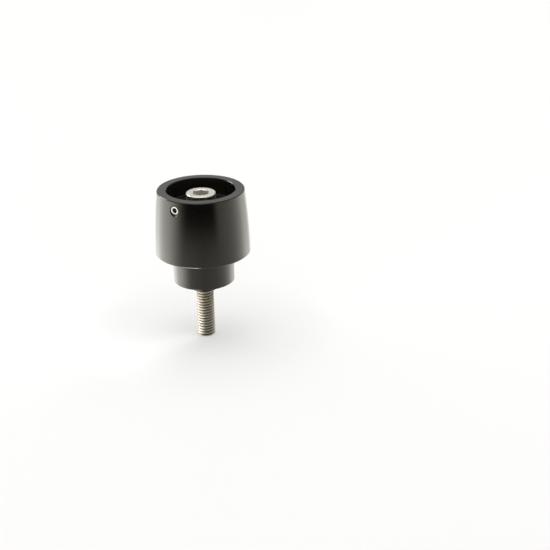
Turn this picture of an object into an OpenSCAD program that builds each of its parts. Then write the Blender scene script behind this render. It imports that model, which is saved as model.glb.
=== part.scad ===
// Bar end weight for a motorcycle handlebar: a turned weight with an open cup,
// a seat collar and a keyed spigot, with its cap screw and a grub screw.
// The part stands on the tip of its screw. Z is the axis of the weight.

/* [Weight] */
// Length from the shoulder to the rim
body_len = 21.7; // [20.5:0.1:25]
// Diameter over the shoulder, the widest place
shoulder_d = 31.6; // [30:0.1:36]
// Diameter over the rim
rim_d = 28.7; // [27.5:0.1:29.5]
// Height of the barrel curve over its chord
barrel_sag = 0.27; // [0.1:0.01:0.6]
// Chamfer on the lower edge of the shoulder
shoulder_chamfer = 0.35; // [0.1:0.05:0.8]
// Chamfer on the outer edge of the rim
rim_chamfer = 0.2; // [0.05:0.05:0.4]

/* [Cup] */
// Bore of the open cup
cup_d = 22.6; // [20:0.1:22.8]
// Depth of the cup, from the rim to its floor
cup_depth = 5.65; // [4.5:0.05:6.3]
// Chamfer on the inner edge of the rim
mouth_chamfer = 0.2; // [0.1:0.05:0.8]
// Diameter of the recess that the screw head sits in
head_seat_d = 11; // [10.8:0.1:13]
// Depth of the screw head below the rim
head_below_rim = 1.2; // [0.4:0.05:1.2]

/* [Collar and spigot] */
// Diameter of the collar that meets the bar
collar_d = 20.5; // [18:0.1:22]
// Length of the collar
collar_len = 10.1; // [6:0.1:12]
// Chamfer on the end edge of the collar
collar_chamfer = 0.25; // [0.1:0.05:0.6]
// Diameter of the spigot around the screw
spigot_d = 9.2; // [8.4:0.1:12]
// Length of the spigot
spigot_len = 3; // [2:0.1:4]
// Length of the key beside it
key_len = 3.3; // [2.5:0.1:4]
// Width of the key that stops the weight turning
key_w = 5.6; // [3:0.1:7]
// Distance from the axis to the outer end of the key
key_reach = 7.05; // [6.5:0.05:8]
// Direction of the key around the axis, in degrees
key_angle = 90; // [0:5:355]
// Diameter of the clearance hole for the screw
screw_hole_d = 6.6; // [6.3:0.1:7]

/* [Cap screw] */
// Nominal thread diameter of the cap screw
screw_d = 6; // [5.8:0.05:6]
// Length under the head
screw_len = 45; // [43:0.5:50]
// Length of the threaded part
thread_len = 24; // [22.5:0.5:28]
// Pitch diameter of the thread, at which its part inside the weight is drawn
pitch_d = 5.35; // [5.2:0.05:5.5]
// Diameter of the plain shank
shank_d = 5.85; // [5.6:0.05:5.95]
// Diameter of the head
head_d = 9.8; // [9.5:0.1:10.4]
// Height of the head
head_h = 6; // [5.6:0.1:6.4]
// Rounding of the head's top edge
head_round = 0.35; // [0.1:0.05:0.6]
// Width across the flats of the hex socket
socket_af = 5; // [4:0.5:5]
// Depth of the hex socket
socket_depth = 3; // [2:0.1:3.4]
// Chamfer on the tip of the screw
tip_chamfer = 0.5; // [0.3:0.05:0.8]

/* [Grub screw] */
// Nominal thread diameter of the grub screw
grub_d = 3; // [2.5:0.5:3]
// Length of the grub screw
grub_len = 3; // [2.5:0.5:3]
// Depth of its axis below the rim
grub_below_rim = 2.95; // [2.6:0.05:3.2]
// Direction of the grub screw around the axis, in degrees
grub_angle = 237.5; // [180:2.5:300]
// Diameter of the countersink around its hole
grub_sink_d = 3.6; // [3.2:0.1:4]
// Depth of its outer end below the surface
grub_recess = 0.2; // [0.1:0.05:0.4]
// Width across the flats of its hex socket
grub_af = 1.5; // [1.3:0.1:1.5]
// Depth of its hex socket
grub_socket_depth = 1.4; // [0.8:0.1:1.6]

/* [Hidden] */
$fn = 144;

// Heights along the axis, from the tip of the screw
seat_z = screw_len;
head_top_z = seat_z + head_h;
rim_z = head_top_z + head_below_rim;
cup_z = rim_z - cup_depth;
shoulder_z = rim_z - body_len;
collar_z = shoulder_z - collar_len;
spigot_z = collar_z - spigot_len;
key_z = collar_z - key_len;
// Where the free thread ends: at the end of the spigot or of the key, the lower one
free_z = min(spigot_z, key_z);
grub_z = rim_z - grub_below_rim;

// Barrel curve: an arc through the shoulder's edge and the rim's edge
sr = shoulder_d / 2;
rr = rim_d / 2;
chord = sqrt(pow(body_len, 2) + pow(sr - rr, 2));
barrel_r = pow(chord, 2) / (8 * barrel_sag) + barrel_sag / 2;
// unit normal of the chord, pointing away from the axis
nx = body_len / chord;
nz = (sr - rr) / chord;
arc_x = (sr + rr) / 2 - nx * (barrel_r - barrel_sag);
arc_z = (shoulder_z + rim_z) / 2 - nz * (barrel_r - barrel_sag);
// Radius of the barrel at a height
function barrel_at(z) = arc_x + sqrt(pow(barrel_r, 2) - pow(z - arc_z, 2));
grub_surface = barrel_at(grub_z);

eps = 0.02;

// Outline of the barrel, from the axis to the outer arc
module barrel_outline() {
  intersection() {
    polygon([
      [0, shoulder_z],
      [sr - shoulder_chamfer, shoulder_z],
      [sr + 2, shoulder_z + shoulder_chamfer + 2],
      [rr + 2, rim_z - rim_chamfer - 2],
      [rr - rim_chamfer, rim_z],
      [0, rim_z]
    ]);
    translate([arc_x, arc_z]) circle(r = barrel_r, $fn = 1440);
  }
}

// Collar with its chamfered end edge
module collar() {
  rotate_extrude()
    polygon([
      [0, collar_z],
      [collar_d / 2 - collar_chamfer, collar_z],
      [collar_d / 2, collar_z + collar_chamfer],
      [collar_d / 2, shoulder_z + 1],
      [0, shoulder_z + 1]
    ]);
}

// Spigot around the screw, with the key on one side of it
module spigot() {
  translate([0, 0, spigot_z]) cylinder(d = spigot_d, h = spigot_len + 1);
  rotate([0, 0, key_angle])
    intersection() {
      translate([0, 0, key_z]) cylinder(r = key_reach, h = key_len + 1);
      translate([0, -key_w / 2, key_z])
        cube([key_reach + 1, key_w, key_len + 1]);
    }
}

// Everything that is cut along the axis
module axis_cuts() {
  translate([0, 0, cup_z]) cylinder(d = cup_d, h = cup_depth + 1);
  translate([0, 0, rim_z - mouth_chamfer])
    cylinder(r1 = cup_d / 2, r2 = cup_d / 2 + mouth_chamfer + 0.5, h = mouth_chamfer + 0.5);
  translate([0, 0, seat_z]) cylinder(d = head_seat_d, h = cup_z - seat_z + 1);
  translate([0, 0, free_z - 1]) cylinder(d = screw_hole_d, h = seat_z - free_z + 2);
}

// Tapped hole through the cup's wall, with its countersink
module grub_hole() {
  translate([0, 0, grub_z]) rotate([0, 0, grub_angle]) rotate([0, 90, 0]) {
    translate([0, 0, cup_d / 2 - 2]) cylinder(d = grub_d, h = 8, $fn = 48);
    translate([0, 0, grub_surface - (grub_sink_d - grub_d) / 2])
      cylinder(r1 = grub_d / 2, r2 = grub_sink_d / 2 + 1, h = (grub_sink_d - grub_d) / 2 + 1, $fn = 48);
  }
}

module weight_body() {
  color([0.09, 0.09, 0.09])
    difference() {
      union() {
        rotate_extrude() barrel_outline();
        collar();
        spigot();
      }
      axis_cuts();
      grub_hole();
    }
}

module cap_screw() {
  color([0.72, 0.71, 0.68])
    difference() {
      rotate_extrude()
        union() {
          // Tip, free thread at its full diameter, thread inside the weight
          // at its pitch diameter, and plain shank
          polygon([
            [0, 0],
            [screw_d / 2 - tip_chamfer, 0],
            [screw_d / 2, tip_chamfer],
            [screw_d / 2, free_z],
            [pitch_d / 2, free_z],
            [pitch_d / 2, thread_len],
            [shank_d / 2, thread_len + (shank_d - pitch_d) / 2],
            [shank_d / 2, seat_z + 1],
            [0, seat_z + 1]
          ]);
          // Head with its rounded top edge
          translate([0, seat_z]) square([head_d / 2, head_h - head_round]);
          translate([0, seat_z]) square([head_d / 2 - head_round, head_h]);
          intersection() {
            translate([head_d / 2 - head_round, head_top_z - head_round]) circle(r = head_round, $fn = 64);
            translate([0, seat_z]) square([head_d, head_h]);
          }
        }
      // Hex socket with the drill's cone at its bottom
      translate([0, 0, head_top_z - socket_depth])
        cylinder(d = socket_af / cos(30), h = socket_depth + 1, $fn = 6);
      translate([0, 0, head_top_z - socket_depth - 0.7])
        cylinder(r1 = 0, r2 = socket_af / 2, h = 0.7 + eps, $fn = 96);
      // Small chamfer at the socket's mouth
      translate([0, 0, head_top_z - 0.2])
        cylinder(r1 = socket_af / 2 - 0.05, r2 = socket_af / 2 + 0.75, h = 0.8, $fn = 96);
    }
}

module grub_screw() {
  color([0.72, 0.71, 0.68])
    translate([0, 0, grub_z]) rotate([0, 0, grub_angle]) rotate([0, 90, 0])
      translate([0, 0, grub_surface - grub_recess - grub_len])
        difference() {
          rotate_extrude($fn = 48)
            polygon([
              [0, 0],
              [grub_d / 2 - 0.4, 0],
              [grub_d / 2, 0.4],
              [grub_d / 2, grub_len - 0.2],
              [grub_d / 2 - 0.2, grub_len],
              [0, grub_len]
            ]);
          translate([0, 0, grub_len - grub_socket_depth])
            cylinder(d = grub_af / cos(30), h = grub_socket_depth + 1, $fn = 6);
        }
}

weight_body();
cap_screw();
grub_screw();
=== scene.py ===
import math

import bmesh
import bpy
from mathutils import Matrix, Vector


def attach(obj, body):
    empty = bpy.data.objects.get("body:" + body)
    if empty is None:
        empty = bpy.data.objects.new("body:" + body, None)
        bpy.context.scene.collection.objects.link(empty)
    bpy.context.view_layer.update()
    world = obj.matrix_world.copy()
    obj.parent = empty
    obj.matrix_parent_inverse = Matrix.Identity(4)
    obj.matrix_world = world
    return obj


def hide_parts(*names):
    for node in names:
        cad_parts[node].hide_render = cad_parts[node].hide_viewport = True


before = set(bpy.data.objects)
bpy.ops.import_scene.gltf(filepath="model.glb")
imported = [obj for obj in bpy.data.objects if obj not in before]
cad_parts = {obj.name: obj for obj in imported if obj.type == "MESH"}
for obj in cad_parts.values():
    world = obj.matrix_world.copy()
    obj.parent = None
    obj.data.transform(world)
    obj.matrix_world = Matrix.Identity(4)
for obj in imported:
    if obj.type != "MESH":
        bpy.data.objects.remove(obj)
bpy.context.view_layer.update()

MM = 0.001

# ---------------------------------------------------------------- sizes, in mm
SHOULDER_R, RIM_R, SAG = 15.8, 14.35, 0.27
TIP_Z, KEY_Z, SPIGOT_Z, COLLAR_Z, SHOULDER_Z = 0.0, 17.1, 17.4, 20.4, 30.5
SEAT_Z, CUP_Z, HEAD_Z, RIM_Z = 45.0, 46.55, 51.0, 52.2
SHOULDER_CH, RIM_CH, MOUTH_CH, COLLAR_CH = 0.35, 0.2, 0.2, 0.25
CUP_R, HEAD_SEAT_R, COLLAR_R, SPIGOT_R = 11.3, 5.5, 10.25, 4.6
KEY_W, KEY_REACH, HOLE_R = 5.6, 7.05, 3.3
GRUB_Z, GRUB_ANGLE, GRUB_R, GRUB_SINK_R = 49.25, 237.5, 1.5, 1.8
GRUB_LEN, GRUB_RECESS, GRUB_AF, GRUB_DEEP = 3.0, 0.2, 1.5, 1.4
SCREW_R, SHANK_R, THREAD_LEN, PITCH = 3.0, 2.925, 24.0, 1.0
HEAD_R, SOCKET_AF, SOCKET_DEEP = 4.9, 5.0, 3.0

CHORD = math.hypot(RIM_Z - SHOULDER_Z, SHOULDER_R - RIM_R)
ARC_R = CHORD * CHORD / (8 * SAG) + SAG / 2
NX, NZ = (RIM_Z - SHOULDER_Z) / CHORD, (SHOULDER_R - RIM_R) / CHORD
ARC_X = (SHOULDER_R + RIM_R) / 2 - NX * (ARC_R - SAG)
ARC_Z = (SHOULDER_Z + RIM_Z) / 2 - NZ * (ARC_R - SAG)


def barrel_at(z):
    return ARC_X + math.sqrt(ARC_R**2 - (z - ARC_Z) ** 2)


# ---------------------------------------------------------------- mesh helpers
def rounded(points, closed=False):
    """points: (r, z, corner radius, steps). A polyline with each corner rounded by a small arc."""
    out = []
    n = len(points)
    for i, (r, z, rad, steps) in enumerate(points):
        if rad <= 0 or (not closed and i in (0, n - 1)):
            out.append((r, z))
            continue
        p0 = Vector(points[i - 1][:2])
        p1 = Vector((r, z))
        p2 = Vector(points[(i + 1) % n][:2])
        a, b = (p0 - p1), (p2 - p1)
        la, lb = a.length, b.length
        a, b = a / la, b / lb
        ang = a.angle(b)
        if ang > math.pi - 1e-3:
            out.append((r, z))
            continue
        t = min(rad / math.tan(ang / 2), 0.45 * la, 0.45 * lb)
        rad2 = t * math.tan(ang / 2)
        c = p1 + (a + b).normalized() * (rad2 / math.sin(ang / 2))
        s, e = p1 + a * t, p1 + b * t
        vs, ve = s - c, e - c
        turn = vs.angle_signed(ve)
        for k in range(steps + 1):
            rot = Matrix.Rotation(-turn * k / steps, 2)
            q = c + rot @ vs
            out.append((q.x, q.y))
    return out


def refine(line, longest):
    """Adds points so that no step of the polyline is over the given length."""
    out = [line[0]]
    for a, b in zip(line, line[1:]):
        d = math.hypot(b[0] - a[0], b[1] - a[1])
        n = max(1, math.ceil(d / longest))
        for k in range(1, n + 1):
            out.append((a[0] + (b[0] - a[0]) * k / n, a[1] + (b[1] - a[1]) * k / n))
    return out


def guard(line, near=0.05, over=0.6):
    """Adds a point close to each end of a long step, so that smooth shading stays flat along it."""
    out = [line[0]]
    for a, b in zip(line, line[1:]):
        d = math.hypot(b[0] - a[0], b[1] - a[1])
        if d > over:
            for s in (near / d, 1 - near / d):
                out.append((a[0] + (b[0] - a[0]) * s, a[1] + (b[1] - a[1]) * s))
        out.append(b)
    return out


def lathe(bm, line, n, radius_at=None, closed=False, start=0.0):
    """Turns (r, z) points about Z. Points on the axis become one vertex. radius_at(r, z, angle) may change the radius."""
    rows = []
    for r, z in line:
        if r < 1e-6:
            rows.append([bm.verts.new((0, 0, z * MM))])
            continue
        row = []
        for k in range(n):
            a = start + 2 * math.pi * k / n
            q = radius_at(r, z, a) if radius_at else r
            row.append(bm.verts.new((q * math.cos(a) * MM, q * math.sin(a) * MM, z * MM)))
        rows.append(row)
    pairs = list(zip(rows, rows[1:]))
    if closed:
        pairs.append((rows[-1], rows[0]))
    for lo, hi in pairs:
        for k in range(n):
            j = (k + 1) % n
            if len(lo) == 1 and len(hi) == 1:
                continue
            if len(lo) == 1:
                bm.faces.new((lo[0], hi[j], hi[k]))
            elif len(hi) == 1:
                bm.faces.new((lo[k], lo[j], hi[0]))
            else:
                bm.faces.new((lo[k], lo[j], hi[j], hi[k]))
    return rows


def prism(bm, outline, z0, z1, close=True):
    """An upright prism from a list of (x, y), in mm."""
    lo = [bm.verts.new((x * MM, y * MM, z0 * MM)) for x, y in outline]
    hi = [bm.verts.new((x * MM, y * MM, z1 * MM)) for x, y in outline]
    n = len(outline)
    for k in range(n):
        j = (k + 1) % n
        bm.faces.new((lo[k], lo[j], hi[j], hi[k]))
    if close:
        bm.faces.new(list(reversed(lo)))
        bm.faces.new(hi)


def to_object(bm, name, matrix=None):
    bmesh.ops.remove_doubles(bm, verts=bm.verts, dist=1e-8)
    bmesh.ops.recalc_face_normals(bm, faces=bm.faces)
    if matrix is not None:
        bm.transform(matrix)
    mesh = bpy.data.meshes.new(name)
    bm.to_mesh(mesh)
    bm.free()
    obj = bpy.data.objects.new(name, mesh)
    bpy.context.scene.collection.objects.link(obj)
    return obj


def cut(obj, other, operation="DIFFERENCE"):
    """Applies a boolean with another object, and removes that object."""
    m = obj.modifiers.new("cut", "BOOLEAN")
    m.operation, m.solver, m.object = operation, "EXACT", other
    dg = bpy.context.evaluated_depsgraph_get()
    mesh = bpy.data.meshes.new_from_object(obj.evaluated_get(dg))
    obj.modifiers.remove(m)
    old = obj.data
    obj.data = mesh
    mesh.name = obj.name
    bpy.data.meshes.remove(old)
    other_mesh = other.data
    bpy.data.objects.remove(other)
    bpy.data.meshes.remove(other_mesh)


def smooth(obj, degrees=28):
    for p in obj.data.polygons:
        p.use_smooth = True
    obj.data.set_sharp_from_angle(angle=math.radians(degrees))


def hexagon(af, corner, steps=3, turn=0.0):
    """A hexagon of that width across flats, with small rounded corners."""
    r = af / math.sqrt(3)
    pts = []
    for k in range(6):
        a = turn + math.radians(60 * k + 30)
        c = Vector((math.cos(a), math.sin(a))) * (r - corner / math.cos(math.radians(30)))
        for s in range(steps + 1):
            b = a + math.radians(-30 + 60 * s / steps)
            pts.append((c.x + corner * math.cos(b), c.y + corner * math.sin(b)))
    return pts


def thread_radius(major, pitch, z, angle):
    """Radius of an ISO thread at a height and angle: flat crest, rounded root, right hand."""
    t = (z / pitch - angle / (2 * math.pi)) % 1.0
    d = abs(t - 0.5)  # 0 at the middle of the crest, 0.5 at the middle of the root
    deep = 0.6134 * pitch
    crest, root = 1 / 16, 0.5 - 0.105
    if d <= crest:
        f = 0.0
    elif d >= root:
        # circular root, tangent to the flanks
        u = (d - root) / (0.5 - root)
        f = 0.86 + 0.14 * math.sqrt(max(0.0, 1 - (1 - u) ** 2))
    else:
        f = 0.86 * (d - crest) / (root - crest)
    # a little rounding where the flank meets the crest
    soft = 0.028
    if d < crest + soft:
        f = max(0.0, (d - crest + soft)) ** 2 / (4 * soft) * 0.86 / (root - crest)
    return major - deep * f


def threaded(bm, major, pitch, z0, z1, limit, n=96, per_pitch=20, close=None):
    """A threaded stretch from z0 to z1, its rows running along the helix. limit(z, r) bounds the radius."""
    count = math.ceil((z1 - z0) / pitch) + 2
    rows = []
    for j in range(count * per_pitch + 1):
        row = []
        for k in range(n):
            a = 2 * math.pi * k / n
            z = z0 - pitch + pitch * j / per_pitch + pitch * k / n
            zc = min(max(z, z0), z1)
            r = limit(zc, thread_radius(major, pitch, zc, a))
            row.append(bm.verts.new((r * math.cos(a) * MM, r * math.sin(a) * MM, zc * MM)))
        rows.append(row)
    for j in range(len(rows) - 1):
        for k in range(n):
            if k < n - 1:
                bm.faces.new((rows[j][k], rows[j][k + 1], rows[j + 1][k + 1], rows[j + 1][k]))
            elif j + 1 + per_pitch < len(rows):
                bm.faces.new((rows[j][k], rows[j + per_pitch][0], rows[j + 1 + per_pitch][0], rows[j + 1][k]))
    # rows outside the stretch have collapsed on its ends
    bmesh.ops.remove_doubles(bm, verts=bm.verts, dist=2e-8)
    bmesh.ops.dissolve_degenerate(bm, edges=bm.edges, dist=2e-8)


# ---------------------------------------------------------------- the turned weight
def build_body():
    n = 360
    e, s = 0.05, 4  # edge rounding and its steps
    z_top = RIM_Z
    # outer barrel, from the shoulder up to the rim
    barrel = []
    for k in range(1, 24):
        z = SHOULDER_Z + 1.0 + (RIM_Z - SHOULDER_Z - 1.6) * (k - 1) / 22
        barrel.append((barrel_at(z), z, 0, 0))
    pts = [
        (0, SPIGOT_Z, 0.0, 0),
        (SPIGOT_R, SPIGOT_Z, 0.12, s),
        (SPIGOT_R, COLLAR_Z, 0.1, s),
        (COLLAR_R - COLLAR_CH, COLLAR_Z, e, s),
        (COLLAR_R, COLLAR_Z + COLLAR_CH, e, s),
        (COLLAR_R, SHOULDER_Z, 0.1, s),
        (SHOULDER_R - SHOULDER_CH, SHOULDER_Z, e, s),
        (barrel_at(SHOULDER_Z + SHOULDER_CH), SHOULDER_Z + SHOULDER_CH, e, s),
        *barrel,
        (barrel_at(RIM_Z - RIM_CH), RIM_Z - RIM_CH, e, s),
        (RIM_R - RIM_CH, RIM_Z, e, s),
        (CUP_R + MOUTH_CH, RIM_Z, e, s),
        (CUP_R, RIM_Z - MOUTH_CH, e, s),
        (CUP_R, CUP_Z, 0.2, s),
        (HEAD_SEAT_R, CUP_Z, 0.08, s),
        (HEAD_SEAT_R, SEAT_Z, 0.15, s),
        (0, SEAT_Z, 0.0, 0),
    ]
    line = guard(rounded(pts), 0.04, 0.5)
    bm = bmesh.new()
    lathe(bm, line, n)
    body = to_object(bm, "turned_weight")

    # key beside the spigot, on the far side
    half = KEY_W / 2
    w = math.asin(half / KEY_REACH)
    out = [(half, 1.5)]
    out += [(KEY_REACH * math.cos(a), KEY_REACH * math.sin(a)) for a in
            [math.pi / 2 - w + 2 * w * k / 12 for k in range(13)]]
    out += [(-half, 1.5)]
    bm = bmesh.new()
    prism(bm, out, KEY_Z, COLLAR_Z + 0.8)
    key = to_object(bm, "key_tool")
    bev = key.modifiers.new("edge", "BEVEL")
    bev.width, bev.segments, bev.limit_method, bev.angle_limit = 0.12 * MM, 3, "ANGLE", math.radians(35)
    dg = bpy.context.evaluated_depsgraph_get()
    mesh = bpy.data.meshes.new_from_object(key.evaluated_get(dg))
    key.modifiers.clear()
    key.data = mesh
    cut(body, key, "UNION")

    # the hole for the screw, through the spigot too
    bm = bmesh.new()
    lathe(bm, [(0, KEY_Z - 1), (HOLE_R, KEY_Z - 1), (HOLE_R, SEAT_Z - 0.12), (HOLE_R + 0.3, SEAT_Z + 0.18), (0, SEAT_Z + 0.18)], 144)
    cut(body, to_object(bm, "bore_tool"))

    # the tapped hole for the grub screw, with its countersink
    surface = barrel_at(GRUB_Z)
    place = (
        Matrix.Translation((0, 0, GRUB_Z * MM))
        @ Matrix.Rotation(math.radians(GRUB_ANGLE), 4, "Z")
        @ Matrix.Rotation(math.radians(90), 4, "Y")
    )
    bm = bmesh.new()
    d = GRUB_SINK_R - GRUB_R
    tool = rounded([
        (0, CUP_R - 1.5, 0, 0),
        (GRUB_R, CUP_R - 1.5, 0, 0),
        (GRUB_R, surface - d, 0.12, 4),
        (GRUB_SINK_R + 1.2, surface + 1.2, 0, 0),
        (0, surface + 1.2, 0, 0),
    ])
    lathe(bm, tool, 72)
    cut(body, to_object(bm, "hole_tool", place))
    smooth(body, 26)
    return body


# ---------------------------------------------------------------- the cap screw
def build_screw():
    bm = bmesh.new()
    shank = lambda z: SHANK_R

    def limit(z, r):
        cone = SCREW_R - 0.5 + z if z < 0.75 else 9.0
        r = min(r, cone)
        if z > THREAD_LEN - 1.2:
            f = (z - THREAD_LEN + 1.2) / 1.2
            r = r + (SHANK_R - r) * f * f * (3 - 2 * f)
        return r

    threaded(bm, SCREW_R, PITCH, TIP_Z, THREAD_LEN, limit)
    # flat tip: close the lower end; the upper end goes on as the plain shank
    edges = [e for e in bm.edges if e.is_boundary]
    low = [e for e in edges if e.verts[0].co.z < 1e-6]
    high = [e for e in edges if e.verts[0].co.z > 0.02]
    ring = bmesh.ops.extrude_edge_only(bm, edges=low)["geom"]
    for v in (g for g in ring if isinstance(g, bmesh.types.BMVert)):
        v.co.x *= 0.93
        v.co.y *= 0.93
    low = [e for e in bm.edges if e.is_boundary and e.verts[0].co.z < 1e-6]
    bmesh.ops.contextual_create(bm, geom=low)
    ring = bmesh.ops.extrude_edge_only(bm, edges=high)["geom"]
    for v in (g for g in ring if isinstance(g, bmesh.types.BMVert)):
        v.co.z = (SEAT_Z + 0.6) * MM
    high = [e for e in bm.edges if e.is_boundary and e.verts[0].co.z > 0.02]
    bmesh.ops.contextual_create(bm, geom=high)
    screw = to_object(bm, "socket_cap_screw")

    # head: straight knurl round its side, rounded top edge
    teeth, per = 56, 8
    n = teeth * per

    def knurl(r, z, a):
        if r < HEAD_R - 0.02 or not SEAT_Z + 0.35 < z < HEAD_Z - 0.45:
            return r
        fade = min(1.0, (z - SEAT_Z - 0.35) / 0.35, (HEAD_Z - 0.45 - z) / 0.3)
        u = (a * teeth / (2 * math.pi)) % 1.0
        wave = abs(u - 0.5) * 2  # 0 on the crest
        f = min(1.0, max(0.0, (wave - 0.18) / 0.82)) ** 1.1
        return r - 0.20 * max(0.0, fade) * f

    side = [(HEAD_R, SEAT_Z + 0.3 + 0.14 * k) for k in range(0, 38)]
    side = [(r, z) for r, z in side if z < HEAD_Z - 0.42]
    head = [
        (0, SEAT_Z),
        (HEAD_R - 0.6, SEAT_Z),
        (HEAD_R - 0.28, SEAT_Z),
        (HEAD_R - 0.08, SEAT_Z + 0.08),
        (HEAD_R, SEAT_Z + 0.25),
        *side,
        (HEAD_R, HEAD_Z - 0.42),
    ]
    rr = 0.38
    for k in range(1, 9):
        a = math.pi / 2 * k / 8
        head.append((HEAD_R - rr + rr * math.cos(a), HEAD_Z - rr + rr * math.sin(a)))
    head += [(HEAD_R - rr - 0.06, HEAD_Z), (HEAD_R - 1.0, HEAD_Z), (3.7, HEAD_Z), (0, HEAD_Z)]
    bm = bmesh.new()
    lathe(bm, head, n, knurl)
    top = to_object(bm, "head_tool")

    # hex socket with the drill's cone at its bottom, and a small chamfer at its mouth
    bm = bmesh.new()
    prism(bm, hexagon(SOCKET_AF, 0.12, 3), HEAD_Z - SOCKET_DEEP, HEAD_Z + 1)
    cut(top, to_object(bm, "hex_tool"))
    bm = bmesh.new()
    lathe(bm, [(0, HEAD_Z - SOCKET_DEEP - 0.7), (SOCKET_AF / 2 - 0.02, HEAD_Z - SOCKET_DEEP + 0.0), (SOCKET_AF / 2 - 0.02, HEAD_Z - SOCKET_DEEP + 0.4), (0, HEAD_Z - SOCKET_DEEP + 0.4)], 72)
    cut(top, to_object(bm, "drill_tool"))
    bm = bmesh.new()
    lathe(bm, rounded([(0, HEAD_Z - 0.25, 0, 0), (SOCKET_AF / 2 - 0.1, HEAD_Z - 0.25, 0, 0), (SOCKET_AF / 2 + 0.5, HEAD_Z + 0.0, 0.1, 3), (SOCKET_AF / 2 + 0.62, HEAD_Z + 0.6, 0, 0), (0, HEAD_Z + 0.6, 0, 0)]), 96)
    cut(top, to_object(bm, "mouth_tool"))
    cut(screw, top, "UNION")
    smooth(screw, 32)
    return screw


# ---------------------------------------------------------------- the grub screw
def build_grub():
    bm = bmesh.new()

    def limit(z, r):
        return min(r, GRUB_R - 0.35 + z, GRUB_R - 0.22 + (GRUB_LEN - z))

    threaded(bm, GRUB_R - 0.01, 0.5, 0.0, GRUB_LEN, limit, n=64, per_pitch=12)
    edges = [e for e in bm.edges if e.is_boundary]
    low = [e for e in edges if e.verts[0].co.z < 1e-6]
    high = [e for e in edges if e.verts[0].co.z > 1e-3]
    bmesh.ops.contextual_create(bm, geom=low)
    bmesh.ops.contextual_create(bm, geom=high)
    grub = to_object(bm, "side_grub_screw")
    bm = bmesh.new()
    prism(bm, hexagon(GRUB_AF, 0.05, 2, math.radians(12)), GRUB_LEN - GRUB_DEEP, GRUB_LEN + 1)
    cut(grub, to_object(bm, "grub_hex"))
    bm = bmesh.new()
    lathe(bm, [(0, GRUB_LEN - 0.3), (GRUB_AF / 2 - 0.02, GRUB_LEN - 0.3), (GRUB_AF / 2 + 0.24, GRUB_LEN + 0.1), (0, GRUB_LEN + 0.1)], 48)
    cut(grub, to_object(bm, "grub_mouth"))
    place = (
        Matrix.Translation((0, 0, GRUB_Z * MM))
        @ Matrix.Rotation(math.radians(GRUB_ANGLE), 4, "Z")
        @ Matrix.Rotation(math.radians(90), 4, "Y")
        @ Matrix.Translation((0, 0, (barrel_at(GRUB_Z) - GRUB_RECESS - GRUB_LEN) * MM))
    )
    grub.data.transform(place)
    smooth(grub, 32)
    return grub


# ---------------------------------------------------------------- materials
def material(name):
    m = bpy.data.materials.new(name)
    m.use_nodes = True
    nt = m.node_tree
    return m, nt, nt.nodes["Principled BSDF"]


def node(nt, kind, **values):
    n = nt.nodes.new(kind)
    for k, v in values.items():
        if hasattr(n, k):
            setattr(n, k, v)
        else:
            n.inputs[k.replace("_", " ")].default_value = v
    return n


def math_node(nt, op, a, b=None, c=None):
    n = nt.nodes.new("ShaderNodeMath")
    n.operation = op
    for i, v in enumerate((a, b, c)):
        if v is None:
            continue
        if isinstance(v, (int, float)):
            n.inputs[i].default_value = v
        else:
            nt.links.new(v, n.inputs[i])
    return n.outputs[0]


def place_of(nt):
    """Object coordinates in mm: x, y, z and the distance from the axis."""
    tc = nt.nodes.new("ShaderNodeTexCoord")
    sep = nt.nodes.new("ShaderNodeSeparateXYZ")
    scale = nt.nodes.new("ShaderNodeVectorMath")
    scale.operation = "SCALE"
    scale.inputs["Scale"].default_value = 1000.0
    nt.links.new(tc.outputs["Object"], scale.inputs[0])
    nt.links.new(scale.outputs[0], sep.inputs[0])
    x, y, z = sep.outputs
    r = math_node(nt, "SQRT", math_node(nt, "ADD", math_node(nt, "MULTIPLY", x, x), math_node(nt, "MULTIPLY", y, y)))
    return scale.outputs[0], x, y, z, r


def noise(nt, vector=None, w=None, scale=1.0, detail=2.0, rough=0.5):
    n = nt.nodes.new("ShaderNodeTexNoise")
    if w is not None:
        n.noise_dimensions = "1D"
        nt.links.new(w, n.inputs["W"])
    else:
        nt.links.new(vector, n.inputs["Vector"])
    n.inputs["Scale"].default_value = scale
    n.inputs["Detail"].default_value = detail
    n.inputs["Roughness"].default_value = rough
    return n.outputs["Fac"] if "Fac" in n.outputs else n.outputs[0]


def ramp(nt, fac, stops):
    n = nt.nodes.new("ShaderNodeValToRGB")
    while len(n.color_ramp.elements) < len(stops):
        n.color_ramp.elements.new(0.5)
    for el, (p, c) in zip(n.color_ramp.elements, stops):
        el.position = p
        el.color = (*c, 1.0) if isinstance(c, tuple) else (c, c, c, 1.0)
    nt.links.new(fac, n.inputs["Fac"])
    return n.outputs["Color"]


def bump(nt, height, strength, distance, normal=None):
    n = nt.nodes.new("ShaderNodeBump")
    n.inputs["Strength"].default_value = strength
    n.inputs["Distance"].default_value = distance
    nt.links.new(height, n.inputs["Height"])
    if normal is not None:
        nt.links.new(normal, n.inputs["Normal"])
    return n.outputs["Normal"]


def fade(nt, value, low, high):
    """0 below low, 1 above high, with a smooth step between."""
    n = nt.nodes.new("ShaderNodeMapRange")
    n.interpolation_type = "SMOOTHSTEP"
    for name, v in (("From Min", low), ("From Max", high), ("To Min", 0.0), ("To Max", 1.0)):
        n.inputs[name].default_value = v
    nt.links.new(value, n.inputs["Value"])
    return n.outputs["Result"]


def blend(nt, fac, a, b):
    """Colour a where fac is 0 and colour b where it is 1. Each is a colour or a socket."""
    n = nt.nodes.new("ShaderNodeMixRGB")
    for i, v in ((1, a), (2, b)):
        if isinstance(v, tuple):
            n.inputs[i].default_value = (*v, 1.0)
        else:
            nt.links.new(v, n.inputs[i])
    nt.links.new(fac, n.inputs[0])
    return n.outputs[0]


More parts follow.
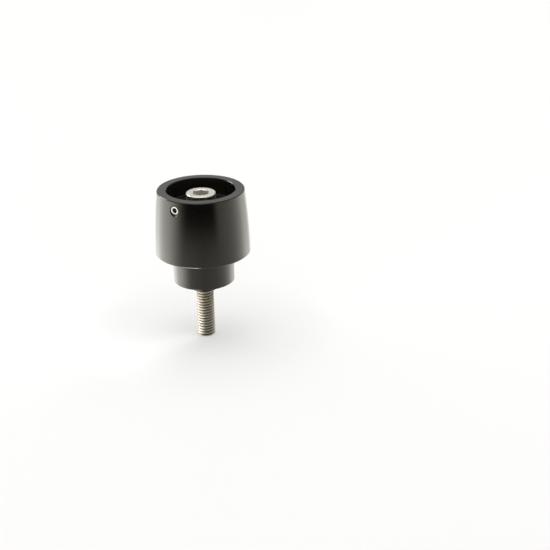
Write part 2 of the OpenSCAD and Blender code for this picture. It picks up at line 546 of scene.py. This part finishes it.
def anodised():
    m, nt, bsdf = material("black_anodised")
    vec, x, y, z, r = place_of(nt)
    # turning marks: fine rings, along z on the walls and along r on the faces
    along = math_node(nt, "ADD", z, r)
    rings = noise(nt, w=math_node(nt, "MULTIPLY", along, 6.0), scale=1.0, detail=3.0, rough=0.65)
    fine = noise(nt, w=math_node(nt, "MULTIPLY", along, 22.0), scale=1.0, detail=2.0, rough=0.6)
    grain = noise(nt, vector=vec, scale=9.0, detail=3.0, rough=0.6)
    patch = noise(nt, vector=vec, scale=0.35, detail=2.0, rough=0.5)
    both = math_node(nt, "ADD", math_node(nt, "MULTIPLY", rings, 0.6), math_node(nt, "MULTIPLY", fine, 0.4))
    n1 = bump(nt, both, 0.35, 0.000012)
    n2 = bump(nt, grain, 0.25, 0.000008, n1)
    nt.links.new(n2, bsdf.inputs["Normal"])
    tone = math_node(nt, "ADD", math_node(nt, "MULTIPLY", patch, 0.6), math_node(nt, "MULTIPLY", grain, 0.4))
    skin = ramp(nt, tone, [(0.3, (0.0020, 0.0019, 0.0017)), (0.7, (0.0038, 0.0036, 0.0031))])
    # the base is a little lighter inside the cup: painted light, lifting the cup's dark inside
    cup_painted_light = math_node(nt, "MULTIPLY", math_node(nt, "SUBTRACT", 1.0, fade(nt, r, CUP_R + 0.02, CUP_R + 0.1)), fade(nt, z, CUP_Z - 0.2, CUP_Z - 0.1))
    nt.links.new(blend(nt, cup_painted_light, skin, (0.0130, 0.0124, 0.0104)), bsdf.inputs["Base Color"])
    ru = math_node(nt, "ADD", math_node(nt, "MULTIPLY", both, 0.10), math_node(nt, "MULTIPLY", grain, 0.06))
    nt.links.new(math_node(nt, "ADD", ru, 0.10), bsdf.inputs["Roughness"])
    bsdf.inputs["Metallic"].default_value = 0.0
    bsdf.inputs["Specular Tint"].default_value = (1.0, 0.972, 0.89, 1.0)
    bsdf.inputs["IOR"].default_value = 1.38
    return m


def steel(name, base, lo, hi, turned, r_lo, r_hi, screw=False):
    m, nt, bsdf = material(name)
    vec, x, y, z, r = place_of(nt)
    along = math_node(nt, "ADD", z, r)
    lines = noise(nt, w=math_node(nt, "MULTIPLY", along, turned), scale=1.0, detail=3.0, rough=0.6)
    grain = noise(nt, vector=vec, scale=6.0, detail=4.0, rough=0.65)
    spots = noise(nt, vector=vec, scale=1.4, detail=3.0, rough=0.55)
    n1 = bump(nt, lines, 0.3, 0.000010)
    n2 = bump(nt, grain, 0.4, 0.000016, n1)
    n3 = bump(nt, spots, 0.25, 0.00003, n2)
    nt.links.new(n3, bsdf.inputs["Normal"])
    tone = math_node(nt, "ADD", math_node(nt, "MULTIPLY", spots, 0.6), math_node(nt, "MULTIPLY", grain, 0.4))
    colour = ramp(nt, tone, [(0.3, tuple(c * lo for c in base)), (0.7, tuple(c * hi for c in base))])
    rough = math_node(nt, "ADD", math_node(nt, "MULTIPLY", grain, r_hi - r_lo), r_lo)
    if screw:
        # the roots of the thread are darker than the crests: partly grime and oxide, partly painted shade
        shank = fade(nt, z, THREAD_LEN - 0.3, THREAD_LEN + 0.3)
        crest = math_node(nt, "MAXIMUM", fade(nt, r, 2.48, 2.94), shank)
        # the threaded length is darker and warmer than the head: partly wear, partly painted shade
        thread_worn_and_shaded = ramp(nt, tone, [(0.3, (0.40, 0.37, 0.31)), (0.7, (0.64, 0.595, 0.505))])
        colour = blend(nt, crest, (0.150, 0.130, 0.100), blend(nt, shank, thread_worn_and_shaded, colour))
        rough = math_node(nt, "ADD", rough, math_node(nt, "MULTIPLY", math_node(nt, "SUBTRACT", 1.0, shank), 0.16))
        # the socket is pressed, so it is more matt than the turned top; its brighter base is painted light, so that the
        # recess shows grey rather than dark
        socket = math_node(nt, "MULTIPLY", math_node(nt, "SUBTRACT", 1.0, fade(nt, r, 2.95, 3.05)), fade(nt, z, 47.0, 47.1))
        socket = math_node(nt, "MULTIPLY", socket, math_node(nt, "SUBTRACT", 1.0, fade(nt, z, HEAD_Z - 0.25, HEAD_Z - 0.1)))
        rough = math_node(nt, "ADD", rough, math_node(nt, "MULTIPLY", socket, 0.26))
        socket_painted_light = ramp(nt, tone, [(0.35, (0.40, 0.38, 0.33)), (0.65, (0.84, 0.82, 0.77))])
        colour = blend(nt, socket, colour, socket_painted_light)
        # the knurl is duller than the turned top
        low = math_node(nt, "SUBTRACT", 1.0, fade(nt, z, HEAD_Z - 0.42, HEAD_Z - 0.30))
        side = math_node(nt, "MULTIPLY", fade(nt, r, HEAD_R - 0.32, HEAD_R - 0.22), math_node(nt, "MULTIPLY", low, fade(nt, z, SEAT_Z - 0.2, SEAT_Z + 0.2)))
        rough = math_node(nt, "ADD", rough, math_node(nt, "MULTIPLY", side, 0.20))
        # the knurl's valleys are painted near-black: painted shade between the ribs
        knurl_valley_shade = math_node(nt, "SUBTRACT", 1.0, fade(nt, r, HEAD_R - 0.15, HEAD_R - 0.03))
        colour = blend(nt, math_node(nt, "MULTIPLY", side, knurl_valley_shade), colour, (0.03, 0.026, 0.02))
    nt.links.new(colour, bsdf.inputs["Base Color"])
    nt.links.new(rough, bsdf.inputs["Roughness"])
    bsdf.inputs["Metallic"].default_value = 1.0
    return m


body = build_body()
screw = build_screw()
grub = build_grub()

body.data.materials.clear()
body.data.materials.append(anodised())
screw.data.materials.clear()
screw.data.materials.append(steel("bright_stainless", (0.74, 0.715, 0.655), 0.72, 1.14, 9.0, 0.14, 0.40, True))
grub.data.materials.clear()
# the grub screw's steel has a much darker base than the cap screw's: painted shade, dimming its recessed ring in the
# barrel
grub.data.materials.append(steel("grub_stainless", (0.27, 0.26, 0.235), 0.75, 1.15, 14.0, 0.18, 0.36))
for obj in (body, screw, grub):
    for p in obj.data.polygons:
        p.material_index = 0

for obj, name, slot in (
    (body, "weight_body", "anodised_body"),
    (screw, "cap_screw", "screw_steel"),
    (grub, "grub_screw", "grub_steel"),
):
    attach(obj, "root")
    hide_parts(name)


# ---------------------------------------------------------------- studio
def sheet_mesh(name, w, h, matrix, cells=8):
    bm = bmesh.new()
    bmesh.ops.create_grid(bm, x_segments=cells, y_segments=cells, size=0.5)
    for v in bm.verts:
        v.co.x *= w
        v.co.y *= h
    mesh = bpy.data.meshes.new(name)
    bm.transform(matrix)
    bm.to_mesh(mesh)
    bm.free()
    obj = bpy.data.objects.new(name, mesh)
    bpy.context.scene.collection.objects.link(obj)
    return obj


floor = sheet_mesh("floor", 6.0, 6.0, Matrix.Identity(4), 12)
m, nt, bsdf = material("pale_floor")
# a light table: part of its brightness is its own, so shadows on it stay faint
bsdf.inputs["Base Color"].default_value = (0.45, 0.449, 0.443, 1)
bsdf.inputs["Emission Color"].default_value = (0.79, 0.788, 0.778, 1)
bsdf.inputs["Emission Strength"].default_value = 0.52
bsdf.inputs["Roughness"].default_value = 0.9
bsdf.inputs["Specular IOR Level"].default_value = 0.1
floor.data.materials.append(m)


def facing(position, target=(0, 0, 0.035)):
    """A matrix at a position whose +Z looks at the target."""
    p, t = Vector(position), Vector(target)
    q = (t - p).to_track_quat("Z", "Y")
    return Matrix.Translation(p) @ q.to_matrix().to_4x4()


def softbox(name, position, w, h, watts, target=(0, 0, 0.035)):
    data = bpy.data.lights.new(name, "AREA")
    data.shape, data.size, data.size_y, data.energy = "RECTANGLE", w, h, watts
    obj = bpy.data.objects.new(name, data)
    bpy.context.scene.collection.objects.link(obj)
    p, t = Vector(position), Vector(target)
    q = (t - p).to_track_quat("-Z", "Y")
    obj.matrix_world = Matrix.Translation(p) @ q.to_matrix().to_4x4()
    return obj


def radiance_watts(radiance, w, h):
    """Watts of an area light of that size which shows the given radiance."""
    return radiance * math.pi * w * h


def reflection_only(obj):
    """A stage card or light that shows in reflections, and not in the picture itself."""
    obj.visible_camera = False
    obj.visible_diffuse = False
    obj.visible_shadow = False


# dark front: the part of the room behind the camera
dark = sheet_mesh("dark_front", 1.5, 0.9, facing((0.05, -1.1, 0.75)))
m, nt, bsdf = material("dark_card")
bsdf.inputs["Base Color"].default_value = (0.01, 0.01, 0.01, 1)
bsdf.inputs["Roughness"].default_value = 1.0
dark.data.materials.append(m)
reflection_only(dark)

# table glow: what the dark sides of the weight mirror, bright to the left and
# the right back, white close in front and dark further out in front
glow = sheet_mesh("table_glow", 3.0, 3.0, Matrix.Translation((0, 0, 0.0004)), 2)
m, nt, bsdf = material("table_glow")
nt.nodes.remove(bsdf)
vec, gx, gy, gz, gr = place_of(nt)
front = math_node(nt, "MULTIPLY", gy, -1.0)
around = math_node(nt, "ARCTAN2", gx, front)
turn = math_node(nt, "ADD", math_node(nt, "MULTIPLY", around, 1 / (2 * math.pi)), 0.5 - 0.01)
GLOW = (  # degrees around from the front, and radiance there
    (-180, 1.6), (-146, 2.1), (-124, 4.8), (-84, 6.2), (-71, 4.8), (-58, 2.9), (-46, 1.8),
    (0, 1.25), (45, 1.6), (72, 2.2), (98, 3.3), (115, 3.9), (135, 2.2), (180, 1.4),
)
level = ramp(nt, turn, [(a / 360 + 0.5, v / 8) for a, v in GLOW])
degrees = math_node(nt, "MULTIPLY", math_node(nt, "SUBTRACT", turn, 0.5), 360.0)
far = fade(nt, gr, 90.0, 260.0)
left_edge = fade(nt, degrees, -68.0, -34.0)
right_edge = math_node(nt, "SUBTRACT", 1.0, fade(nt, degrees, 26.0, 44.0))
shade = math_node(nt, "MULTIPLY", far, math_node(nt, "MULTIPLY", left_edge, right_edge))
# close around the tip, where the free thread mirrors it: bright on the left,
# dim on the right, and the plain floor in front and behind
NEAR = (
    (-130, 1.0), (-108, 1.5), (-88, 4.2), (-72, 7.6), (-57, 8.2), (-43, 4.8), (-30, 2.2), (-14, 0.9),
    (26, 0.8), (46, 0.35), (92, 0.4), (116, 0.9),
)
near = ramp(nt, turn, [(a / 360 + 0.5, v / 16) for a, v in NEAR])
SECTORS = ((-130, 0.0), (-108, 1.0), (-30, 1.0), (-14, 0.0), (26, 0.0), (46, 1.0), (92, 1.0), (116, 0.0))
sector = ramp(nt, turn, [(a / 360 + 0.5, v) for a, v in SECTORS])
outer = fade(nt, gr, 30.0, 50.0)
inner = math_node(nt, "SUBTRACT", 1.0, outer)
emission = nt.nodes.new("ShaderNodeEmission")
wide = math_node(nt, "MULTIPLY", math_node(nt, "MULTIPLY", level, 8.0), math_node(nt, "SUBTRACT", 1.0, shade))
nt.links.new(
    math_node(
        nt, "ADD",
        math_node(nt, "MULTIPLY", wide, outer),
        math_node(nt, "MULTIPLY", math_node(nt, "MULTIPLY", near, 16.0), inner),
    ),
    emission.inputs["Strength"],
)
nt.links.new(blend(nt, outer, (0.94, 0.972, 1.0), (1.0, 0.982, 0.93)), emission.inputs["Color"])
clear = nt.nodes.new("ShaderNodeBsdfTransparent")
mix = nt.nodes.new("ShaderNodeMixShader")
nt.links.new(
    math_node(nt, "MAXIMUM", outer, math_node(nt, "MULTIPLY", sector, fade(nt, gr, 3.2, 5.0))),
    mix.inputs[0],
)
nt.links.new(clear.outputs[0], mix.inputs[1])
nt.links.new(emission.outputs[0], mix.inputs[2])
nt.links.new(mix.outputs[0], nt.nodes["Material Output"].inputs["Surface"])
glow.data.materials.append(m)
reflection_only(glow)

# the left softbox makes only the glints, and the wide fill lights only the floor,
# so that no hard shadow of the screw falls beside its tip
left = softbox("left_softbox", (-0.74, 0.47, 0.5), 0.36, 0.36, radiance_watts(9.5, 0.36, 0.36))
left.visible_camera = False
left.visible_diffuse = False
softbox("top_softbox", (-0.1, 0.1, 1.3), 1.0, 1.0, radiance_watts(1.6, 1.0, 1.0), (0, 0, 0)).visible_camera = False
fill = softbox("floor_fill", (0.0, 0.2, 1.5), 2.0, 2.0, radiance_watts(0.45, 2.0, 2.0), (0, 0, 0))
fill.visible_camera = False
fill.visible_glossy = False

world = bpy.data.worlds.new("studio")
bpy.context.scene.world = world
world.use_nodes = True
bg = world.node_tree.nodes["Background"]
bg.inputs["Color"].default_value = (1.0, 0.997, 0.985, 1)
bg.inputs["Strength"].default_value = 0.85

# ---------------------------------------------------------------- camera
theta, roll = 0.4097, -0.0173
cam_data = bpy.data.cameras.new("camera")
cam_data.lens, cam_data.sensor_width, cam_data.sensor_fit = 78.86, 36.0, "AUTO"
cam_data.clip_start, cam_data.clip_end = 0.01, 20
cam = bpy.data.objects.new("camera", cam_data)
bpy.context.scene.collection.objects.link(cam)
cam.matrix_world = (
    Matrix.Translation((0.02372, -0.37078, 0.18217))
    @ Matrix.Rotation(math.pi / 2 - theta, 4, "X")
    @ Matrix.Rotation(roll, 4, "Z")
)
bpy.context.scene.camera = cam

scene = bpy.context.scene
scene.view_settings.view_transform = "Standard"
scene.view_settings.look = "None"
scene.view_settings.exposure = 0.0
scene.view_settings.gamma = 1.0
scene.view_settings.use_curve_mapping = True
scene.view_settings.curve_mapping.black_level = (0.0022, 0.0022, 0.0022)
scene.view_settings.curve_mapping.update()
